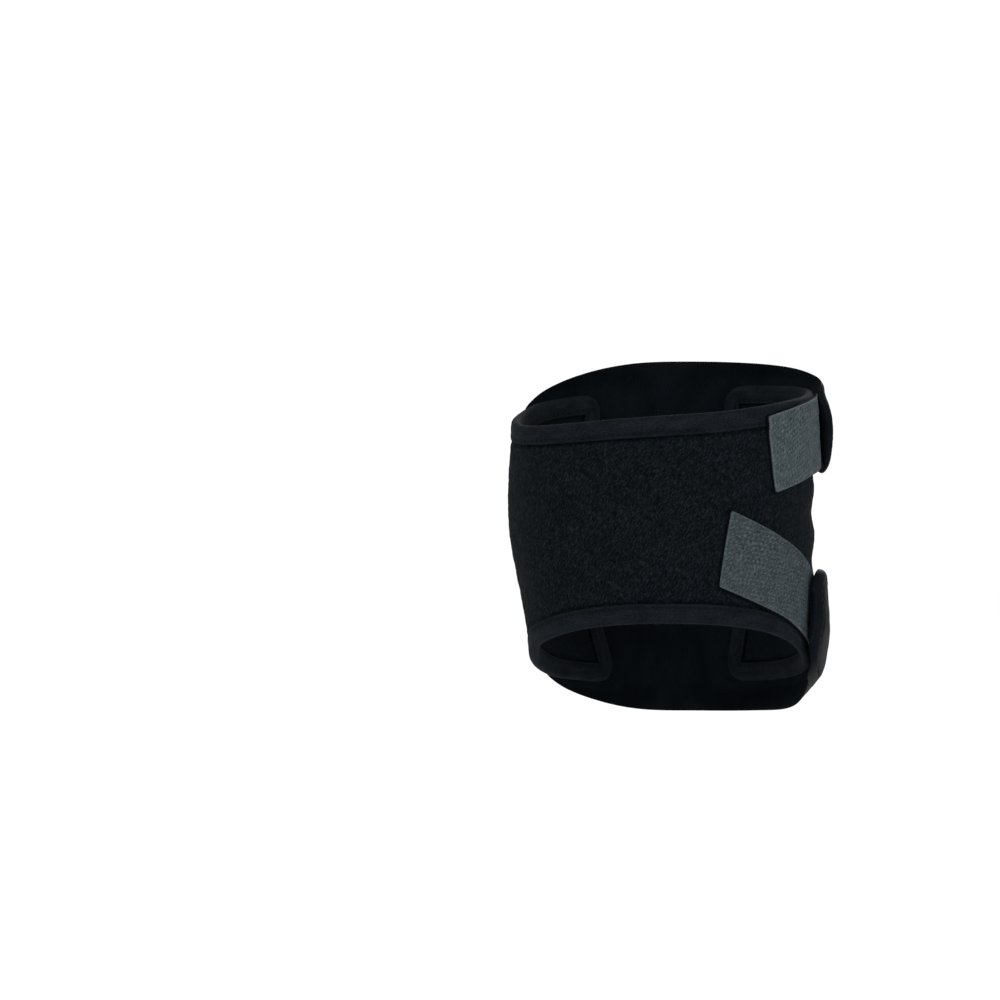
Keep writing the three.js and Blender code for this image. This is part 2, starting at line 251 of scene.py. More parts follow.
def wrap(turn, height, rise):
    """Points at a rise from the skin."""
    turn, height = np.broadcast_arrays(np.asarray(turn, float), np.asarray(height, float))
    step = 0.5
    around = knee_point(turn + step, height) - knee_point(turn - step, height)
    up = knee_point(turn, height + step) - knee_point(turn, height - step)
    return knee_point(turn, height) + unit(np.cross(around, up)) * np.asarray(rise)[..., None]


def girth_per_degree():
    turns = np.arange(361.0)
    points = knee_point(turns, 0 * turns)
    return float(np.linalg.norm(np.diff(points, axis=0), axis=1).sum() / 360)


PER_DEGREE = girth_per_degree()


def panel_top(turn):
    return PANEL_HEIGHT * EDGE_TOP(turn)


def panel_bottom(turn):
    return PANEL_HEIGHT * EDGE_BOTTOM(turn)


def ease(value, low, high):
    """0 below low, 1 above high, and smooth between."""
    share = np.clip((np.asarray(value, float) - low) / (high - low), 0, 1)
    return share * share * (3 - 2 * share)


def drawn_back(radius, distance):
    """How far a rounded corner draws back at a distance from the edge beside it."""
    short = np.clip(radius - distance, 0, radius)
    return radius - np.sqrt(radius**2 - short**2)


def mottle(u, v, size, seed, waves=28):
    """A smooth random field, about -1 to 1, whose lumps are about size across."""
    random = np.random.default_rng(seed)
    total = np.zeros(np.broadcast(u, v).shape)
    for _ in range(waves):
        heading = random.uniform(0, 2 * math.pi)
        rate = 2 * math.pi / (size * random.uniform(0.75, 1.6))
        phase = random.uniform(0, 2 * math.pi)
        total += np.sin(rate * (u * math.cos(heading) + v * math.sin(heading)) + phase)
    return total / math.sqrt(waves)


def turned(u, v, degrees):
    """Flat coordinates along and across a direction."""
    angle = math.radians(degrees)
    return u * math.cos(angle) + v * math.sin(angle), v * math.cos(angle) - u * math.sin(angle)


# Mesh helpers


def mesh_piece(name, points, faces, material, node=None):
    """A piece with its points in millimetres, riding on the only body."""
    mesh = bpy.data.meshes.new(name)
    mesh.from_pydata((np.asarray(points) * MM).tolist(), [], faces)
    mesh.validate()
    for polygon in mesh.polygons:
        polygon.use_smooth = True
    piece = bpy.data.objects.new(name, mesh)
    bpy.context.collection.objects.link(piece)
    mesh.materials.append(material)
    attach(piece, "root")
    if node:
        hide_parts(node)
    return piece


def grid_faces(rows, columns, offset=0, flip=False, close_rows=False, close_columns=False):
    """Four-sided faces between a grid's points. A closed grid joins its last row or column to its first."""
    faces = []
    for row in range(rows if close_rows else rows - 1):
        here = offset + row * columns
        ahead = offset + (row + 1) % rows * columns
        for column in range(columns if close_columns else columns - 1):
            beside = (column + 1) % columns
            if flip:
                faces.append((here + column, here + beside, ahead + beside, ahead + column))
            else:
                faces.append((here + column, ahead + column, ahead + beside, here + beside))
    return faces


def slab_mesh(outer, inner):
    """Points and faces of a closed body between two grids of points that share no vertices."""
    rows, columns = outer.shape[:2]
    count = rows * columns
    points = np.concatenate([outer.reshape(-1, 3), inner.reshape(-1, 3)])
    faces = grid_faces(rows, columns) + grid_faces(rows, columns, count, flip=True)
    for row in range(rows - 1):
        here, ahead = row * columns, (row + 1) * columns
        faces.append((count + here, count + ahead, ahead, here))
        here, ahead = here + columns - 1, ahead + columns - 1
        faces.append((here, ahead, count + ahead, count + here))
    for column in range(columns - 1):
        faces.append((column, column + 1, count + column + 1, count + column))
        last = (rows - 1) * columns + column
        faces.append((count + last, count + last + 1, last + 1, last))
    return points, faces


def edge_spots(length, near, steps):
    """Distances along a length: near its two ends as listed, and evenly between."""
    near = np.asarray(near, float)
    middle = np.linspace(near[-1], length - near[-1], steps + 1)[1:-1]
    return np.concatenate([near, middle, (length - near)[::-1]])


def grid_rim(flat):
    """The points round a grid, anticlockwise."""
    return np.concatenate([flat[:-1, 0], flat[-1, :-1], flat[:0:-1, -1], flat[0, :0:-1]])


def outline_distance(points, outline, closed=True):
    """How far flat points are from an outline's nearest segment."""
    ends = np.roll(outline, -1, axis=0) if closed else outline[1:]
    starts = outline if closed else outline[:-1]
    along = ends - starts
    square = np.maximum((along**2).sum(axis=1), 1e-9)
    best = np.full(len(points), 1e9)
    for start, vector, length in zip(starts, along, square):
        share = np.clip(((points - start) @ vector) / length, 0, 1)
        gap = points - start - share[:, None] * vector
        best = np.minimum(best, (gap**2).sum(axis=1))
    return np.sqrt(best)


# Materials


class Shader:
    """A node material with one Principled shader, built step by step."""

    def __init__(self, name, color, roughness, specular=0.06, sheen=0.0, sheen_tint=(1, 1, 1)):
        self.material = bpy.data.materials.new(name)
        self.material.use_nodes = True
        self.tree = self.material.node_tree
        self.surface = self.tree.nodes["Principled BSDF"]
        self.surface.inputs["Base Color"].default_value = (*color, 1)
        self.surface.inputs["Roughness"].default_value = roughness
        self.surface.inputs["Specular IOR Level"].default_value = specular
        self.surface.inputs["Sheen Weight"].default_value = sheen
        self.surface.inputs["Sheen Roughness"].default_value = 0.4
        self.surface.inputs["Sheen Tint"].default_value = (*sheen_tint, 1)
        self.coordinates = self.tree.nodes.new("ShaderNodeTexCoord")

    def node(self, kind, **values):
        made = self.tree.nodes.new(kind)
        for key, value in values.items():
            setattr(made, key, value)
        return made

    def link(self, output, socket):
        self.tree.links.new(output, socket)

    def across(self, size, turn=0.0):
        """The cloth's flat coordinates, in units of a size in millimetres along and across a direction."""
        mapping = self.node("ShaderNodeMapping", vector_type="TEXTURE")
        mapping.inputs["Scale"].default_value = (*size, 1)
        mapping.inputs["Rotation"].default_value = (0, 0, math.radians(turn))
        self.link(self.coordinates.outputs["UV"], mapping.inputs["Vector"])
        return mapping.outputs["Vector"]

    def noise(self, size, turn=0.0, detail=2.0, roughness=0.5):
        made = self.node("ShaderNodeTexNoise")
        made.inputs["Scale"].default_value = 1
        made.inputs["Detail"].default_value = detail
        made.inputs["Roughness"].default_value = roughness
        self.link(self.across(size, turn), made.inputs["Vector"])
        return made.outputs["Fac"]

    def ribs(self, pitch, turn=0.0, distortion=0.0, detail=1.0):
        """Parallel ribs, a pitch in millimetres apart."""
        made = self.node("ShaderNodeTexWave", wave_type="BANDS", bands_direction="X")
        made.inputs["Scale"].default_value = math.pi / 10
        made.inputs["Distortion"].default_value = distortion
        made.inputs["Detail"].default_value = detail
        self.link(self.across((pitch, pitch), turn), made.inputs["Vector"])
        return made.outputs["Fac"]

    def math(self, operation, a, b):
        made = self.node("ShaderNodeMath", operation=operation)
        for socket, value in zip(made.inputs, (a, b)):
            if isinstance(value, (int, float)):
                socket.default_value = value
            else:
                self.link(value, socket)
        return made.outputs["Value"]

    def blend(self, *parts):
        """The sum of weighted fields, given as field, weight, field, weight and so on."""
        total = None
        for field, weight in zip(parts[::2], parts[1::2]):
            part = self.math("MULTIPLY", field, weight)
            total = part if total is None else self.math("ADD", total, part)
        return total

    def ramp(self, factor, stops):
        """Colours along a factor: stops are (place, colour)."""
        made = self.node("ShaderNodeValToRGB")
        while len(made.color_ramp.elements) < len(stops):
            made.color_ramp.elements.new(0.5)
        for element, (place, color) in zip(made.color_ramp.elements, stops):
            element.position = place
            element.color = (*color, 1)
        self.link(factor, made.inputs["Fac"])
        return made.outputs["Color"]

    def bump(self, height, depth, strength=1.0, after=None):
        """Relief of a depth in millimetres."""
        made = self.node("ShaderNodeBump")
        made.inputs["Distance"].default_value = depth * MM
        made.inputs["Strength"].default_value = strength
        self.link(height, made.inputs["Height"])
        if after:
            self.link(after, made.inputs["Normal"])
        return made.outputs["Normal"]

    def masked(self, color, mask, other):
        """A colour that gives way to another where a piece's mask is 1."""
        mix = self.node("ShaderNodeMix", data_type="RGBA")
        found = self.node("ShaderNodeAttribute", attribute_name=mask)
        self.link(found.outputs["Fac"], mix.inputs["Factor"])
        self.link(color, mix.inputs["A"])
        mix.inputs["B"].default_value = (*other, 1)
        return mix.outputs["Result"]

    def finish(self, color=None, normal=None):
        if color:
            self.link(color, self.surface.inputs["Base Color"])
        if normal:
            self.link(normal, self.surface.inputs["Normal"])
        return self.material


def loop_pile():
    """Brushed loops on neoprene: slanted flecks over soft, uneven tufts."""
    base = (0.0025, 0.0038, 0.005)
    shader = Shader("Loop pile", base, 0.95, specular=0.015, sheen=0.01, sheen_tint=COOL_SHEEN)
    flecks = shader.noise((1.7, 0.62), turn=58, detail=2, roughness=0.55)
    loops = shader.noise((0.75, 0.6), turn=30, detail=2, roughness=0.6)
    tufts = shader.noise((4.2, 2.6), turn=62, detail=2)
    patches = shader.noise((16, 13), detail=2)
    # The tone follows the same flecks, loops and tufts as the relief below, darker in their hollows and paler
    # on their crests: partly the pile's own paler flecks, partly painted shade of the relief.
    tone = shader.blend(flecks, 0.48, loops, 0.3, tufts, 0.15, patches, 0.07)
    color = shader.ramp(
        tone,
        [
            (0.38, (0.0004, 0.0009, 0.0014)),
            (0.5, (0.0022, 0.0034, 0.0044)),
            (0.64, (0.0088, 0.0109, 0.0126)),
        ],
    )
    color = shader.masked(color, "lining", (0.0021, 0.0031, 0.0042))
    # Painted shade along the binding's groove, from the shade mask.
    color = shader.masked(color, "shade", GROOVE_PAINTED_SHADE)
    normal = shader.bump(tufts, 0.6, 0.8)
    normal = shader.bump(shader.blend(flecks, 0.6, loops, 0.4), 0.7, 1.0, after=normal)
    return shader.finish(color, normal)


def binding_tape():
    """Fine knitted tape, smoother and a shade lighter than the pile."""
    base = (0.0032, 0.0044, 0.0057)
    shader = Shader("Binding tape", base, 0.9, specular=0.02, sheen=0.01, sheen_tint=COOL_SHEEN)
    knit = shader.ribs(0.55, turn=90, distortion=1.2, detail=2)
    grain = shader.noise((0.9, 0.6), turn=50, detail=2, roughness=0.6)
    worn = shader.noise((9, 3.5), detail=2)
    tone = shader.blend(grain, 0.55, worn, 0.33, knit, 0.12)
    color = shader.ramp(tone, [(0.36, (0.0014, 0.0022, 0.0031)), (0.66, (0.0078, 0.0098, 0.0121))])
    # Painted shade along the seam and the legs' tips, from the shade mask.
    color = shader.masked(color, "shade", GROOVE_PAINTED_SHADE)
    return shader.finish(color, shader.bump(shader.blend(grain, 0.7, knit, 0.3), 0.25, 0.8))


def strap_cloth():
    """Close jersey over the pads, with fine ribs and a soft sheen."""
    base = (0.0018, 0.0029, 0.004)
    shader = Shader("Strap cloth", base, 0.6, specular=0.015, sheen=0.006, sheen_tint=COOL_SHEEN)
    ribs = shader.ribs(0.6, turn=0, distortion=0.5)
    grain = shader.noise((0.6, 0.6), detail=2, roughness=0.6)
    creases = shader.noise((9, 16), turn=12, detail=3)
    # The tone follows the crease field of the relief below, darker where the creases sink: painted shade in
    # the creases, over fine random grain and ribs.
    tone = shader.blend(grain, 0.4, creases, 0.4, ribs, 0.2)
    color = shader.ramp(tone, [(0.35, (0.0008, 0.0015, 0.0023)), (0.65, (0.0031, 0.0046, 0.006))])
    normal = shader.bump(creases, 0.6, 0.5)
    normal = shader.bump(shader.blend(ribs, 0.5, grain, 0.5), 0.1, 0.7, after=normal)
    return shader.finish(color, normal)


def hook_tape():
    """Grey woven tape: a fine twill with pebbled yarns, lighter along its cut edges, with a painted highlight
    along its fold at the strap's end.
    """
    base = (0.033, 0.043, 0.047)
    shader = Shader("Hook tape", base, 0.9, specular=0.04, sheen=0.01, sheen_tint=(0.8, 0.9, 0.95))
    yarns = shader.node("ShaderNodeAttribute", attribute_name="yarns").outputs["Fac"]
    strokes = shader.noise((1.6, 0.5), turn=48, detail=2, roughness=0.55)
    pebbles = shader.noise((0.7, 0.6), turn=20, detail=2, roughness=0.6)
    heather = shader.noise((5, 3.5), detail=2)
    height = shader.blend(strokes, 0.55, pebbles, 0.45)
    color = shader.ramp(
        shader.blend(yarns, 0.33, height, 0.5, heather, 0.17),
        [
            (0.375, (0.0105, 0.0155, 0.018)),
            (0.5, (0.031, 0.041, 0.045)),
            (0.625, (0.068, 0.083, 0.089)),
        ],
    )
    # Paler along the cut edges, and along a painted highlight where the tape curves up under the strap.
    color = shader.masked(color, "edge", (0.1, 0.12, 0.127))
    # Darkened by the tab's shade mask, which includes a painted shadow of the strap near the tab's end.
    color = shader.masked(color, "shade", (0.004, 0.005, 0.006))
    return shader.finish(color, shader.bump(height, 0.2, 0.8))


def hook_side():
    """The black hooks under a tab, a dense field of short bristles. Where they show past the tab's edges they
    are also a painted shadow line.
    """
    shader = Shader("Hooks", (0.001, 0.0016, 0.0022), 0.8, specular=0.02)
    bristles = shader.noise((0.5, 0.5), detail=1)
    return shader.finish(normal=shader.bump(bristles, 0.3, 0.8))


def thread():
    return Shader("Thread", (0.0036, 0.005, 0.0064), 0.8, specular=0.03).finish()


PILE = loop_pile()
TAPE = binding_tape()
CLOTH = strap_cloth()
TAB_TAPE = hook_tape()
HOOKS = hook_side()
THREAD = thread()


# The wrap


def panel_flat(lines, levels):
    """Flat places of the wrap's points, at shares from end to end and from bottom to top."""
    end_height = float(panel_top(PANEL_END) - panel_bottom(PANEL_END))
    up = levels[None, :] * end_height
    reach = KNEECAP_NOTCH * (2 * levels[None, :] - 1) ** 2
    start = PANEL_START * PER_DEGREE - reach
    finish = PANEL_END * PER_DEGREE + reach
    along = start + lines[:, None] * (finish - start)
    corner = drawn_back(PANEL_CORNER, np.minimum(up, end_height - up))
    beside_start = np.maximum(0, 1 - (along - start) / (2 * PANEL_CORNER))
    beside_finish = np.maximum(0, 1 - (finish - along) / (2 * PANEL_CORNER))
    around = along + corner * (beside_start - beside_finish)
    turn = around / PER_DEGREE
    low, high = panel_bottom(turn), panel_top(turn)
    return np.stack([around, low + levels[None, :] * (high - low)], axis=-1)


PANEL_GIRTH = (PANEL_END - PANEL_START) * PER_DEGREE
FINE_EDGE = (0, 0.4, 0.9, 1.6, 2.5, 3.6, 4.8, 6.0, 6.8, 7.4, 8.1, 9.0)
PANEL_LINES = edge_spots(PANEL_GIRTH, FINE_EDGE, PANEL_LINE_COUNT) / PANEL_GIRTH
PANEL_LEVELS = edge_spots(PANEL_HEIGHT, FINE_EDGE, PANEL_LEVEL_COUNT) / PANEL_HEIGHT


def panel_outline():
    """The wrap's outline, anticlockwise, as evenly spaced flat points."""
    loop = grid_rim(panel_flat(PANEL_LINES, PANEL_LEVELS))
    steps = np.linalg.norm(np.roll(loop, -1, axis=0) - loop, axis=1)
    travelled = np.concatenate([[0], np.cumsum(steps)])
    closed = np.concatenate([loop, loop[:1]])
    even = np.linspace(0, travelled[-1], OUTLINE_COUNT + 1)[:-1]
    return np.stack([np.interp(even, travelled, closed[:, axis]) for axis in (0, 1)], axis=-1)


OUTLINE = panel_outline()


def side_folds(turn, height):
    """Soft sideways folds of the wrap at the knee's right side, between the two straps."""
    window = ease(turn, 58, 84) * (1 - ease(turn, 112, 134))
    window = window * ease(height, -34, -16) * (1 - ease(height, 20, 34))
    return window * (0.55 * np.sin(2 * math.pi * (height - 5 + 0.12 * turn) / 19) - 0.1)


def make_wrap_panel():
    """The wrap: raised pile and folds outside, smooth lining inside, and its rim pressed thinner."""
    flat = panel_flat(PANEL_LINES, PANEL_LEVELS)
    around, height = flat[..., 0], flat[..., 1]
    turn = around / PER_DEGREE
    edge = outline_distance(flat.reshape(-1, 2), OUTLINE).reshape(turn.shape)
    swell = ease(edge, HEM_WIDTH - 0.3, HEM_WIDTH + 2.4)
    half = PRESSED_THICKNESS / 2 - 0.3 * (1 - ease(edge, 0, 1.2))
    half = half + (PANEL_THICKNESS / 2 - PRESSED_THICKNESS / 2) * swell
    long_way, short_way = turned(around, height, 58)
    tufts = 0.05 * mottle(long_way * 0.45, short_way, 1.7, 11) + 0.04 * mottle(around, height, 3, 16)
    tufts = tufts + 0.08 * mottle(around, height, 9, 12)
    drape = 0.22 * mottle(around, height * 0.7, 34, 13)
    beats = (around + 0.5 * np.abs(height)) / 4.4 + 0.35 * mottle(around, 0 * height, 20, 14)
    puckers = 0.16 * np.sin(2 * math.pi * beats) * (0.6 + 0.4 * mottle(around, height, 15, 17))
    puckers = puckers * ease(edge, HEM_WIDTH, HEM_WIDTH + 1.5)
    puckers = puckers * (1 - ease(edge, HEM_WIDTH + 2, HEM_WIDTH + 8))
    shift = (drape + side_folds(turn, height)) * ease(edge, HEM_WIDTH, HEM_WIDTH + 9)
    outer = wrap(turn, height, PANEL_MIDDLE + half + swell * tufts + puckers + shift)
    inner = wrap(turn, height, PANEL_MIDDLE - half + 0.4 * swell * tufts + shift * 0.5)
    points, faces = slab_mesh(outer, inner)
    piece = mesh_piece("wrap_panel_cloth", points, faces, PILE, "wrap_panel")
    set_flat_coordinates(piece, np.concatenate([flat.reshape(-1, 2)] * 2))
    # Painted shade: the pile is darkened in the groove along the binding's inner edge, unevenly along it.
    groove_shade = (1 - ease(edge, HEM_WIDTH, HEM_WIDTH + 1.5)) * (0.5 + 0.2 * mottle(around, height, 4, 15))
    set_mask(piece, "shade", groove_shade, groove_shade)
    set_mask(piece, "lining", 0 * edge, 0 * edge + 0.85)


# The binding


def tape_section():
    """The folded tape's outline, from its outer leg's tip round the fold and back inside it. Columns:
    distance into the wrap, distance from the middle of its thickness, and how far the stitching draws it
    in."""
    outside = PRESSED_THICKNESS / 2 + CLEARANCE + TAPE_THICKNESS
    inside = outside - TAPE_THICKNESS
    leg, seam = TAPE_LEG, TAPE_SEAM
    legs = [leg - 0.12, leg - 0.5, seam + 0.55, seam, seam - 0.55, seam - 1.4, seam - 2.6, TAPE_FOLD + 0.6]
    drawn = [0.1, 0.02, 0.05, 0.22, 0.05, -0.06, -0.12, -0.08]
    rows = [(leg, outside - 0.3, 0), *((inward, outside, pull) for inward, pull in zip(legs, drawn))]
    for angle in np.radians(np.linspace(90, 270, 11)):
        rows.append((TAPE_FOLD + outside * math.cos(angle), outside * math.sin(angle), 0))
    rows += [(inward, -outside, -pull * 0.6) for inward, pull in reversed(list(zip(legs, drawn)))]
    rows += [(leg, -outside + 0.3, 0), (leg - 0.1, -inside, 0)]
    for angle in np.radians(np.linspace(270, 90, 7)):
        rows.append((TAPE_FOLD + inside * math.cos(angle), inside * math.sin(angle), 0))
    rows.append((leg - 0.1, inside, 0))
    return rows


def outline_frames():
    """For each point of the outline, its directions inwards and ahead and its distance round, then the
    whole distance."""
    ahead = unit(np.roll(OUTLINE, -3, axis=0) - np.roll(OUTLINE, 3, axis=0))
    inward = np.stack([-ahead[:, 1], ahead[:, 0]], axis=-1)
    steps = np.linalg.norm(np.roll(OUTLINE, -1, axis=0) - OUTLINE, axis=1)
    return inward, ahead, np.concatenate([[0], np.cumsum(steps)[:-1]]), float(steps.sum())


def make_edge_binding():
    """The tape folded over the wrap's edge all round, drawn in at each stitch."""
    inward, _, travelled, total = outline_frames()
    section = np.array(tape_section())
    flat = OUTLINE[:, None, :] + inward[:, None, :] * section[None, :, :1]
    stitches = round(total / HEM_STITCH_PITCH)
    beat = 0.5 - 0.5 * np.cos(2 * math.pi * travelled * stitches / total)
    wander = 0.07 * mottle(travelled[:, None], 0 * section[None, :, 0], 14, 21)
    out = section[None, :, 1] - section[None, :, 2] * (0.55 + 0.45 * (1 - beat[:, None]))
    shift = wander * (np.abs(section[None, :, 1]) > 1.5) * np.sign(section[None, :, 1])
    points = wrap(flat[..., 0] / PER_DEGREE, flat[..., 1], PANEL_MIDDLE + out + shift)
    count, size = points.shape[:2]
    faces = grid_faces(count, size, flip=True, close_rows=True, close_columns=True)
    points = points.reshape(-1, 3)
    piece = mesh_piece("edge_binding_tape", points, faces, TAPE, "edge_binding")
    steps = np.linalg.norm(np.diff(section[:, :2], axis=0, append=section[:1, :2]), axis=1)
    down = np.concatenate([[0], np.cumsum(steps)[:-1]])
    own = np.stack(np.broadcast_arrays(travelled[:, None], down[None, :]), axis=-1)
    set_flat_coordinates(piece, own.reshape(-1, 2), (total, float(steps.sum())))
    # Painted shade: darker along the seam, pulsing with the stitch pitch, and along the tips of the tape's
    # legs where they step down to the pile.
    pull = 0.3 + 0.7 * (1 - beat[:, None])
    sewn = 0.6 * np.exp(-(((section[None, :, 0] - TAPE_SEAM) / 0.55) ** 2)) * pull
    end = 0.35 * ease(section[None, :, 0], HEM_WIDTH - 0.7, HEM_WIDTH - 0.3)
    set_mask(piece, "shade", np.maximum(sewn, end))


# Straps and tabs


class Strip:
    """A strip along a middle line. Distances run from its fastened or free end."""

    def __init__(self, rows, size, width, lean):
        self.rows = [(row[0] * PER_DEGREE, row[1] * size) for row in rows]
        self.width = width
        self.shear = math.tan(math.radians(lean))
        samples = self.catmull(60)
        steps = np.linalg.norm(np.diff(samples, axis=0), axis=1)
        self.travelled = np.concatenate([[0], np.cumsum(steps)])
        self.samples = samples
        self.length = float(self.travelled[-1])
        places = np.linspace(0, 1, len(rows))
        self.width_share = smooth(list(zip(places, [row[2] for row in rows])), 1)

    def catmull(self, steps):
        """Points of a smooth curve through the rows."""
        points = np.array([self.rows[0], *self.rows, self.rows[-1]], float)
        found = []
        share = np.linspace(0, 1, steps, endpoint=False)[:, None]
        for number in range(1, len(points) - 2):
            before, start, end, after = points[number - 1 : number + 3]
            slope = end - before
            bend = 2 * before - 5 * start + 4 * end - after
            twist = 3 * start - before - 3 * end + after
            found.append(0.5 * (2 * start + slope * share + bend * share**2 + twist * share**3))
        return np.concatenate([*found, points[-2:-1]])

    def half(self, distance):
        return self.width / 2 * self.width_share(np.clip(distance / self.length, 0, 1))

    def at(self, distance):
        """The middle line and its direction at a distance, straight on beyond its ends."""
        held = np.clip(distance, 0, self.length)
        point = np.stack([np.interp(held, self.travelled, self.samples[:, k]) for k in (0, 1)], axis=-1)
        near = np.clip(held, 1.5, self.length - 1.5)
        ahead = [
            np.interp(near + 1.5, self.travelled, self.samples[:, k])
            - np.interp(near - 1.5, self.travelled, self.samples[:, k])
            for k in (0, 1)
        ]
        ahead = unit(np.stack(ahead, axis=-1))
        return point + ahead * (distance - held)[..., None], ahead

    def place(self, distance, across):
        """Flat places at distances along and across the strip."""
        fade = np.maximum(0, 1 - distance / (self.length / 2))
        point, ahead = self.at(distance + across * self.shear * fade)
        side = np.stack([-ahead[..., 1], ahead[..., 0]], axis=-1)
        return point + side * across[..., None]


def carried(above, ahead):
    """How far a pad is held up by what it lies on, 1 to 0, at distances past its long edges and its ends."""
    return 1 - ease(np.hypot(above / PAD_EDGE_DRAPE, ahead / PAD_DRAPE), PAD_BRIDGE, 1)


def carried_by_wrap(flat):
    """How far a pad is held up by the wrap at flat places."""
    turn = flat[..., 0] / PER_DEGREE
    turn = np.where(turn > 180, turn - 360, turn)
    height = flat[..., 1]
    low, high = panel_bottom(turn), panel_top(turn)
    level = 2 * (height - low) / (high - low) - 1
    above = np.maximum(0, np.maximum(height - high, low - height))
    past = np.where(turn > 0, turn - PANEL_END, PANEL_START - turn) * PER_DEGREE
    return carried(above, np.maximum(0, past - KNEECAP_NOTCH * np.minimum(1, level**2)))


class Tab:
    """A tab of hook tape, and how far its end stands off the wrap where the strap begins."""

    def __init__(self, rows, size, width, lean, stand_off, slope, free_lift, fold, shade, seed):
        self.run = Strip(rows, size, width, lean)
        self.width = width
        self.stand_off = stand_off
        self.slope = slope
        self.free_lift = free_lift
        self.fold = fold
        self.shade = shade
        self.seed = seed

    def stands_off(self, past_end, across):
        """The stand-off at distances past the tab's end, which is also where the strap begins."""
        share = ease(past_end, -16, -1) * (1 - ease(past_end, 3, 20))
        return self.stand_off * share * np.clip(1 - self.slope * across / self.width, 0, 2.2)

    def carries(self, flat):
        middle, _ = self.run.at(np.linspace(0, self.run.length + TAB_UNDER_STRAP, 24))
        gap = outline_distance(flat.reshape(-1, 2), middle, closed=False).reshape(flat.shape[:-1])
        return carried(np.maximum(0, gap - self.width / 2), 0 * gap)


class Strap:
    """A padded strap over its tab. Its pad is a lens across. thickness holds the lower edge's, the middle's
    and the upper edge's, and fullness says how broad the lens stays."""

    def __init__(self, rows, size, width, lean, corner, tab, thickness, fullness, rounding, seed):
        self.run = Strip(rows, size, width, lean)
        self.corner = corner
        self.tab = tab
        self.low_edge, self.middle, self.high_edge = thickness
        self.fullness = fullness
        self.rounding = rounding
        self.seed = seed

    def half(self, along):
        """Half of the width at distances from the fastened end, with the corners rounded."""
        return self.run.half(along) - drawn_back(self.corner, np.minimum(along, self.run.length - along))

    def layers(self, flat, along, across):
        """The rise of the pad's underside, and its thickness away from its rim."""
        share = np.clip(across / self.run.half(along), -1, 1)
        edge = (self.low_edge + self.high_edge) / 2 + (self.high_edge - self.low_edge) / 2 * share
        sewn = 1 - ease(self.run.length - along, 9, 24)
        lens = 1 - np.abs(share) ** self.fullness
        thickness = (edge + (self.middle - edge) * lens) * (1 - 0.4 * sewn)
        base = SKIN_GAP + (PAD_INNER - SKIN_GAP) * carried_by_wrap(flat)
        base = base + (PAD_OVER_TAB - PAD_INNER) * self.tab.carries(flat)
        return base + self.tab.stands_off(along, across), thickness


UPPER = Tab(
    UPPER_TAB,
    UPPER_RISE,
    UPPER_TAB_WIDTH,
    UPPER_TAB_LEAN,
    stand_off=0.9,
    slope=2.1,
    free_lift=0.3,
    fold=0.8,
    shade=0.11,
    seed=51,
)
LOWER = Tab(
    LOWER_TAB,
    LOWER_DROP,
    LOWER_TAB_WIDTH,
    LOWER_TAB_LEAN,
    stand_off=0.3,
    slope=0.0,
    free_lift=0.25,
    fold=0.0,
    shade=0.33,
    seed=61,
)
STRAPS = {
    "upper_strap": Strap(
        UPPER_STRAP,
        UPPER_RISE,
        UPPER_WIDTH,
        UPPER_STRAP_LEAN,
        UPPER_CORNER,
        UPPER,
        thickness=(0.9, 4.7, 0.8),
        fullness=2.0,
        rounding=2.1,
        seed=31,
    ),
    "lower_strap": Strap(
        LOWER_STRAP,
        LOWER_DROP,
        LOWER_WIDTH,
        LOWER_STRAP_LEAN,
        LOWER_CORNER,
        LOWER,
        thickness=(0.6, 5.5, 4.0),
        fullness=1.5,
        rounding=3.6,
        seed=41,
    ),
}


def make_strap(name):
    """A padded strap with rounded edges, a stitched channel inside them, and a pressed, sewn-down end."""
    strap = STRAPS[name]
    run = strap.run
    close = (0, 0.15, 0.5, 1.1, 1.8, 2.6, 3.3, 3.6, 3.9, 4.6, 5.6, 7.0, 9.0, 11.0)
    lines = edge_spots(run.length, close, 170)
    shares = edge_spots(2.0, np.array(close[:-1]) / (run.width / 2), 18) - 1
    across = shares[None, :] * strap.half(lines)[:, None]
    along = np.broadcast_to(lines[:, None], across.shape)
    flat = run.place(along, across)
    edge = outline_distance(flat.reshape(-1, 2), grid_rim(flat)).reshape(across.shape)
    round_edge = (1 - (1 - np.clip(edge / strap.rounding, 0, 1)) ** PAD_SQUARE) ** (1 / PAD_SQUARE)
    base, thickness = strap.layers(flat, along, across)
    channel = 0.34 * np.exp(-(((edge - STRAP_SEAM) / 0.6) ** 2))
    lumps = 0.12 * mottle(along, across, 18, strap.seed) + 0.05 * mottle(along, across, 6, strap.seed + 1)
    curl = PAD_CURL * thickness * (1 - round_edge)
    turn, height = flat[..., 0] / PER_DEGREE, flat[..., 1]
    inner = wrap(turn, height, base + curl)
    outer = wrap(turn, height, base + curl + thickness * round_edge + round_edge * (lumps - channel))
    points, faces = slab_mesh(outer, inner)
    piece = mesh_piece(f"{name}_pad", points, faces, CLOTH, name)
    own = np.stack([along, across], axis=-1).reshape(-1, 2)
    set_flat_coordinates(piece, np.concatenate([own, own]))
    weld_rim(piece)


def weld_rim(piece):
    """Joins the two faces of a piece where their points meet along its rim."""
    modifier = piece.modifiers.new("weld", "WELD")
    modifier.merge_threshold = 0.02 * MM
    bpy.context.view_layer.objects.active = piece
    piece.select_set(True)
    bpy.ops.object.modifier_apply(modifier=modifier.name)
    piece.select_set(False)


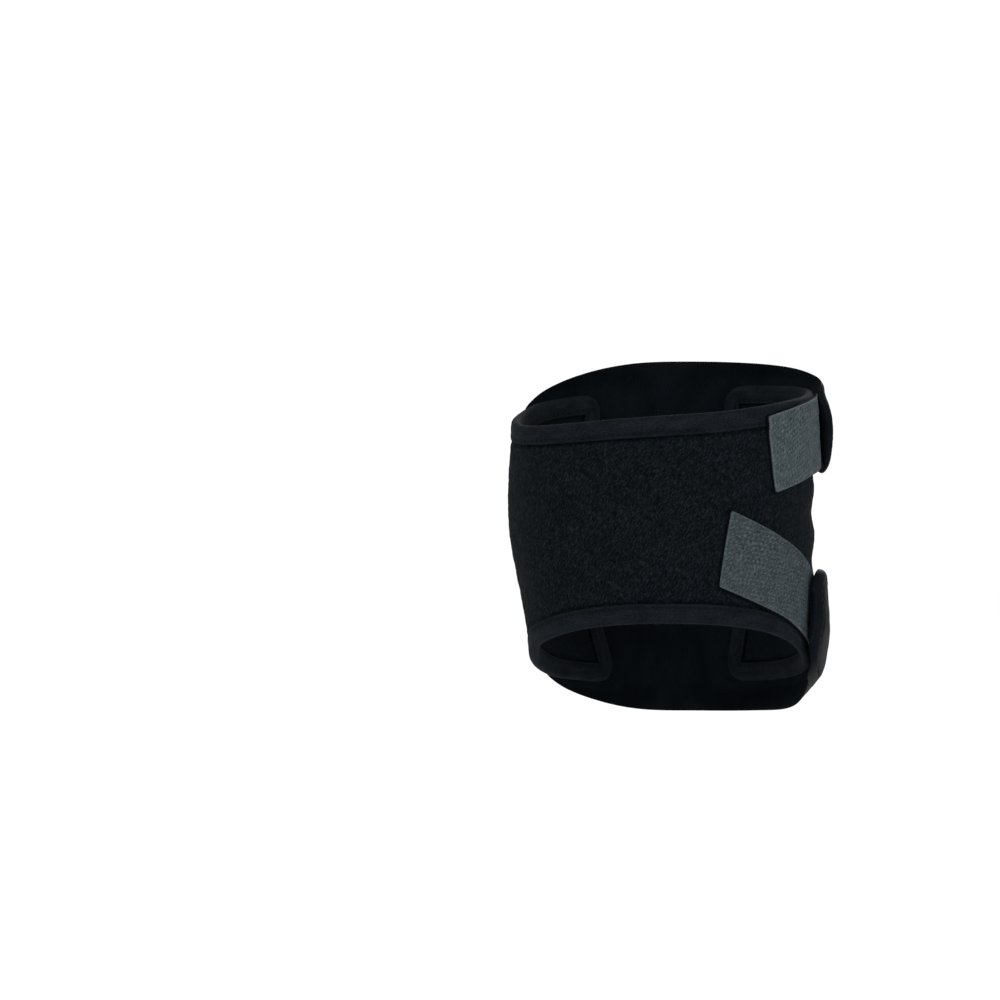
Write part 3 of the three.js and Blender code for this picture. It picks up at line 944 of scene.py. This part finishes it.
def tab_rise(flat):
    """The inner rise of a tab: on the loops, and up over the binding."""
    near = outline_distance(flat.reshape(-1, 2), OUTLINE).reshape(flat.shape[:-1])
    turn = flat[..., 0] / PER_DEGREE
    off_wrap = (flat[..., 1] > panel_top(turn)) | (flat[..., 1] < panel_bottom(turn))
    on_tape = np.where(off_wrap, 1, 1 - ease(near, 6.6, 9.5))
    return TAB_ON_LOOPS + (TAB_ON_TAPE - TAB_ON_LOOPS) * on_tape


def weave(along, across):
    """Short slanted floats of yarn in staggered rows, uneven as in a coarse twill. Crests are about 1."""
    long_way, short_way = turned(along, across, 47)
    long_way = long_way + 0.55 * mottle(along, across, 5, 71)
    short_way = short_way + 0.2 * mottle(along, across, 7, 72) + 0.1 * mottle(along, across, 2.5, 73)
    floats = np.cos(2 * math.pi * short_way / 2.1) * np.cos(2 * math.pi * long_way / 3.3)
    rows = np.cos(2 * math.pi * short_way / 1.05)
    crests = 0.55 * floats + 0.3 * rows + 0.35 * mottle(along, across, 1.5, 74)
    return crests * (1 + 0.25 * mottle(along, across, 4, 75))


def tab_layer(name, tab, low, high, spread, material, step, relief):
    """One layer of a tab between two rises from its underside, spread beyond its cut edges."""
    run = tab.run
    whole = run.length + TAB_UNDER_STRAP
    close = (0, 0.08, 0.2, 0.45, 0.8, 1.2)
    lines = edge_spots(whole + spread, close, round(whole / step)) - spread
    shares = edge_spots(2.0, np.array(close) / (run.width / 2), round(run.width / step)) - 1
    free = np.minimum(lines + spread, whole - lines)
    half = run.half(lines) + spread - drawn_back(TAB_CORNER, free)
    # Spread layers are shifted sideways, so the black hook side shows wider past one long edge as well as
    # past the free end: a painted shadow line along the tab.
    across = shares[None, :] * half[:, None] - spread * 0.35
    along = np.broadcast_to(lines[:, None], across.shape)
    flat = run.place(along, across)
    edge = np.minimum(along + spread, (1 - np.abs(shares[None, :])) * half[:, None])
    rise = tab_rise(flat) + tab.free_lift * (1 - ease(along, 0, 7)) * (0.4 + 0.6 * shares[None, :] ** 2)
    rise = rise + 0.06 * mottle(along, across, 11, tab.seed) + tab.stands_off(along - run.length, across)
    soften = 0.5 * (high - low) * (1 - np.sqrt(np.clip(1 - (1 - np.clip(edge / 0.35, 0, 1)) ** 2, 0, 1)))
    yarns = weave(along, across)
    turn, height = flat[..., 0] / PER_DEGREE, flat[..., 1]
    outer = wrap(turn, height, rise + high - soften + relief * yarns * ease(edge, 0, 0.6))
    inner = wrap(turn, height, rise + low)
    points, faces = slab_mesh(outer, inner)
    piece = mesh_piece(name, points, faces, material)
    own = np.stack([along, across], axis=-1).reshape(-1, 2)
    set_flat_coordinates(piece, np.concatenate([own, own]))
    # Painted highlight: a pale line just short of the strap's end, standing for light on the tape where it
    # curves up under the strap. It joins the paler cut edges in one mask.
    fold = tab.fold * np.exp(-(((along - run.length + 0.7) / 0.45) ** 2))
    pale = np.maximum(0.3 * (1 - ease(edge, 0.12, 0.6)), fold)
    # The tab is darkened by its shade, the lower tab more than the upper, and the darkening doubles over the
    # last 8 mm before the strap as a painted shadow of the strap's end.
    shade_and_strap_shadow = tab.shade * (1 + ease(along - run.length, -8, 0))
    tone = 0.5 + 0.25 * yarns
    set_mask(piece, "edge", pale, pale)
    set_mask(piece, "shade", shade_and_strap_shadow, shade_and_strap_shadow)
    set_mask(piece, "yarns", tone, tone)
    return piece, whole


def set_mask(piece, name, *values):
    """A value for each point of a piece, given in one or more grids in the order of its points."""
    mask = piece.data.attributes.new(name, "FLOAT", "POINT")
    mask.data.foreach_set("value", np.concatenate([part.ravel() for part in values]))


def make_tab(name, tab):
    """A tab of hook tape: grey woven tape over a slightly wider black hook side, whose rim past the tape is
    also a painted shadow line.
    """
    tape, whole = tab_layer(
        f"{name}_tape", tab, TAB_TAPE_LOW, TAB_THICKNESS, 0, TAB_TAPE, step=0.34, relief=WEAVE_RELIEF
    )
    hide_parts(name)
    hooks, _ = tab_layer(
        f"{name}_hooks", tab, HOOKS_LOW, HOOKS_HIGH, HOOKS_SHADOW_SPREAD, HOOKS, step=0.9, relief=0
    )


def set_flat_coordinates(piece, flat, loop=None):
    """Gives each point of a piece its flat place in millimetres. loop holds the lengths round which the
    places run back to nought."""
    mesh = piece.data
    corners = np.empty(len(mesh.loops), dtype=np.int64)
    mesh.loops.foreach_get("vertex_index", corners)
    places = flat[corners]
    if loop:
        quads = places.reshape(-1, 4, 2)
        for axis, length in enumerate(loop):
            part = quads[..., axis]
            past = (part.max(axis=1, keepdims=True) - part) > length / 2
            part += past * length
    mesh.uv_layers.new(name="flat").data.foreach_set("uv", places.ravel())


# Stitching


def stitch_row(name, places, headings, rises, length):
    """A row of short threads at flat places, each lying along its heading. Each stitch is one closed bead.
    Stations along it: share of its length, share of its radius, and rise."""
    ring = 6
    stations = (
        (-0.5, 0.35, -0.16),
        (-0.36, 0.85, 0.02),
        (0, 1.0, 0.08),
        (0.36, 0.85, 0.02),
        (0.5, 0.35, -0.16),
    )
    points, faces = [], []
    for index, (place, heading, rise) in enumerate(zip(places, headings, rises)):
        side = np.array([-heading[1], heading[0]])
        base = index * len(stations) * ring
        for along, size, lift in stations:
            for corner in range(ring):
                angle = 2 * math.pi * corner / ring
                flat = place + heading * along * length + side * STITCH_RADIUS * size * math.cos(angle)
                points.append((flat[0], flat[1], rise + lift + STITCH_RADIUS * size * math.sin(angle)))
        faces += grid_faces(len(stations), ring, base, flip=True, close_columns=True)
        faces.append(tuple(base + k for k in reversed(range(ring))))
        faces.append(tuple(base + (len(stations) - 1) * ring + k for k in range(ring)))
    flat = np.array(points)
    solid = wrap(flat[:, 0] / PER_DEGREE, flat[:, 1], flat[:, 2])
    mesh_piece(name, solid, faces, THREAD)


def hem_stitches():
    """Stitches along the binding's seam, on the outer and the inner leg of the tape."""
    inward, ahead, travelled, total = outline_frames()
    count = round(total / HEM_STITCH_PITCH)
    places, headings = [], []
    for number in range(count):
        index = int(np.searchsorted(travelled, (number + 0.5) * total / count)) - 1
        places.append(OUTLINE[index] + inward[index] * TAPE_SEAM)
        headings.append(ahead[index])
    face = TAPE_OUTER - 0.12
    back = PANEL_MIDDLE - (TAPE_OUTER - PANEL_MIDDLE) + 0.08
    for name, rise in (("hem_stitches_outer", face), ("hem_stitches_inner", back)):
        stitch_row(name, places, headings, [rise] * count, HEM_STITCH_LENGTH)


def strap_stitches(name):
    """Stitches round a strap inside its edge, along its channel."""
    strap = STRAPS[name]
    run = strap.run
    distances = np.linspace(STRAP_SEAM, run.length - STRAP_SEAM, 400)
    inset = np.maximum(strap.half(distances) - STRAP_SEAM, 0)
    along = np.concatenate([distances, distances[::-1]])
    across = np.concatenate([inset, -inset[::-1]])
    loop = run.place(along, across)
    steps = np.linalg.norm(np.roll(loop, -1, axis=0) - loop, axis=1)
    travelled = np.concatenate([[0], np.cumsum(steps)])
    count = round(travelled[-1] / STRAP_STITCH_PITCH)
    even = (np.arange(count) + 0.5) * travelled[-1] / count
    along, across = (np.interp(even, travelled, np.append(row, row[0])) for row in (along, across))
    places = run.place(along, across)
    ahead = unit(np.roll(places, -1, axis=0) - np.roll(places, 1, axis=0))
    base, thickness = strap.layers(places, along, across)
    rises = base + thickness - 0.27
    stitch_row(f"{name}_stitches", places, ahead, rises, STRAP_STITCH_LENGTH)


# Stage, light and camera


def make_stage():
    """A plain pale floor."""
    mesh = bpy.data.meshes.new("floor")
    reach = 9.0
    corners = [(-reach, -reach), (reach, -reach), (reach, reach), (-reach, reach)]
    mesh.from_pydata([(x, y, FLOOR_Z * MM) for x, y in corners], [], [(0, 1, 2, 3)])
    floor = bpy.data.objects.new("floor", mesh)
    bpy.context.collection.objects.link(floor)
    material = bpy.data.materials.new("Pale floor")
    material.use_nodes = True
    surface = material.node_tree.nodes["Principled BSDF"]
    surface.inputs["Base Color"].default_value = (0.97, 0.97, 0.97, 1)
    surface.inputs["Roughness"].default_value = 0.9
    mesh.materials.append(material)


def add_light(name, place, size, power):
    """A round soft light at a place in metres, turned to the middle of the strap."""
    data = bpy.data.lights.new(name, "AREA")
    data.shape = "DISK"
    data.size = size
    data.energy = power
    light = bpy.data.objects.new(name, data)
    bpy.context.collection.objects.link(light)
    light.location = place
    light.rotation_euler = (-Vector(place)).to_track_quat("-Z", "Y").to_euler()


def make_light():
    world = bpy.data.worlds.new("Studio")
    bpy.context.scene.world = world
    world.use_nodes = True
    background = world.node_tree.nodes["Background"]
    background.inputs["Color"].default_value = (1, 1, 1, 1)
    background.inputs["Strength"].default_value = 1.05
    add_light("Key", (-0.9, -1.6, 1.3), 0.6, 26)
    add_light("Fill", (1.4, -1.3, 0.5), 0.9, 15)
    add_light("Front", (0.5, 1.6, 0.9), 0.8, 18)


def make_camera():
    data = bpy.data.cameras.new("Camera")
    data.sensor_width = SENSOR
    data.lens = SENSOR * VIEW_DISTANCE / VIEW_WIDTH
    data.clip_start = 0.05
    data.clip_end = 60
    camera = bpy.data.objects.new("Camera", data)
    bpy.context.collection.objects.link(camera)
    camera.location = (VIEW_X * MM, -VIEW_DISTANCE * MM, VIEW_Z * MM)
    camera.rotation_euler = (math.radians(90), 0, 0)
    bpy.context.scene.camera = camera
    bpy.context.scene.view_settings.view_transform = "Standard"


make_camera()
make_light()
make_stage()
make_wrap_panel()
make_edge_binding()
for strap_name in STRAPS:
    make_strap(strap_name)
    strap_stitches(strap_name)
make_tab("upper_hook_tab", UPPER)
make_tab("lower_hook_tab", LOWER)
hem_stitches()
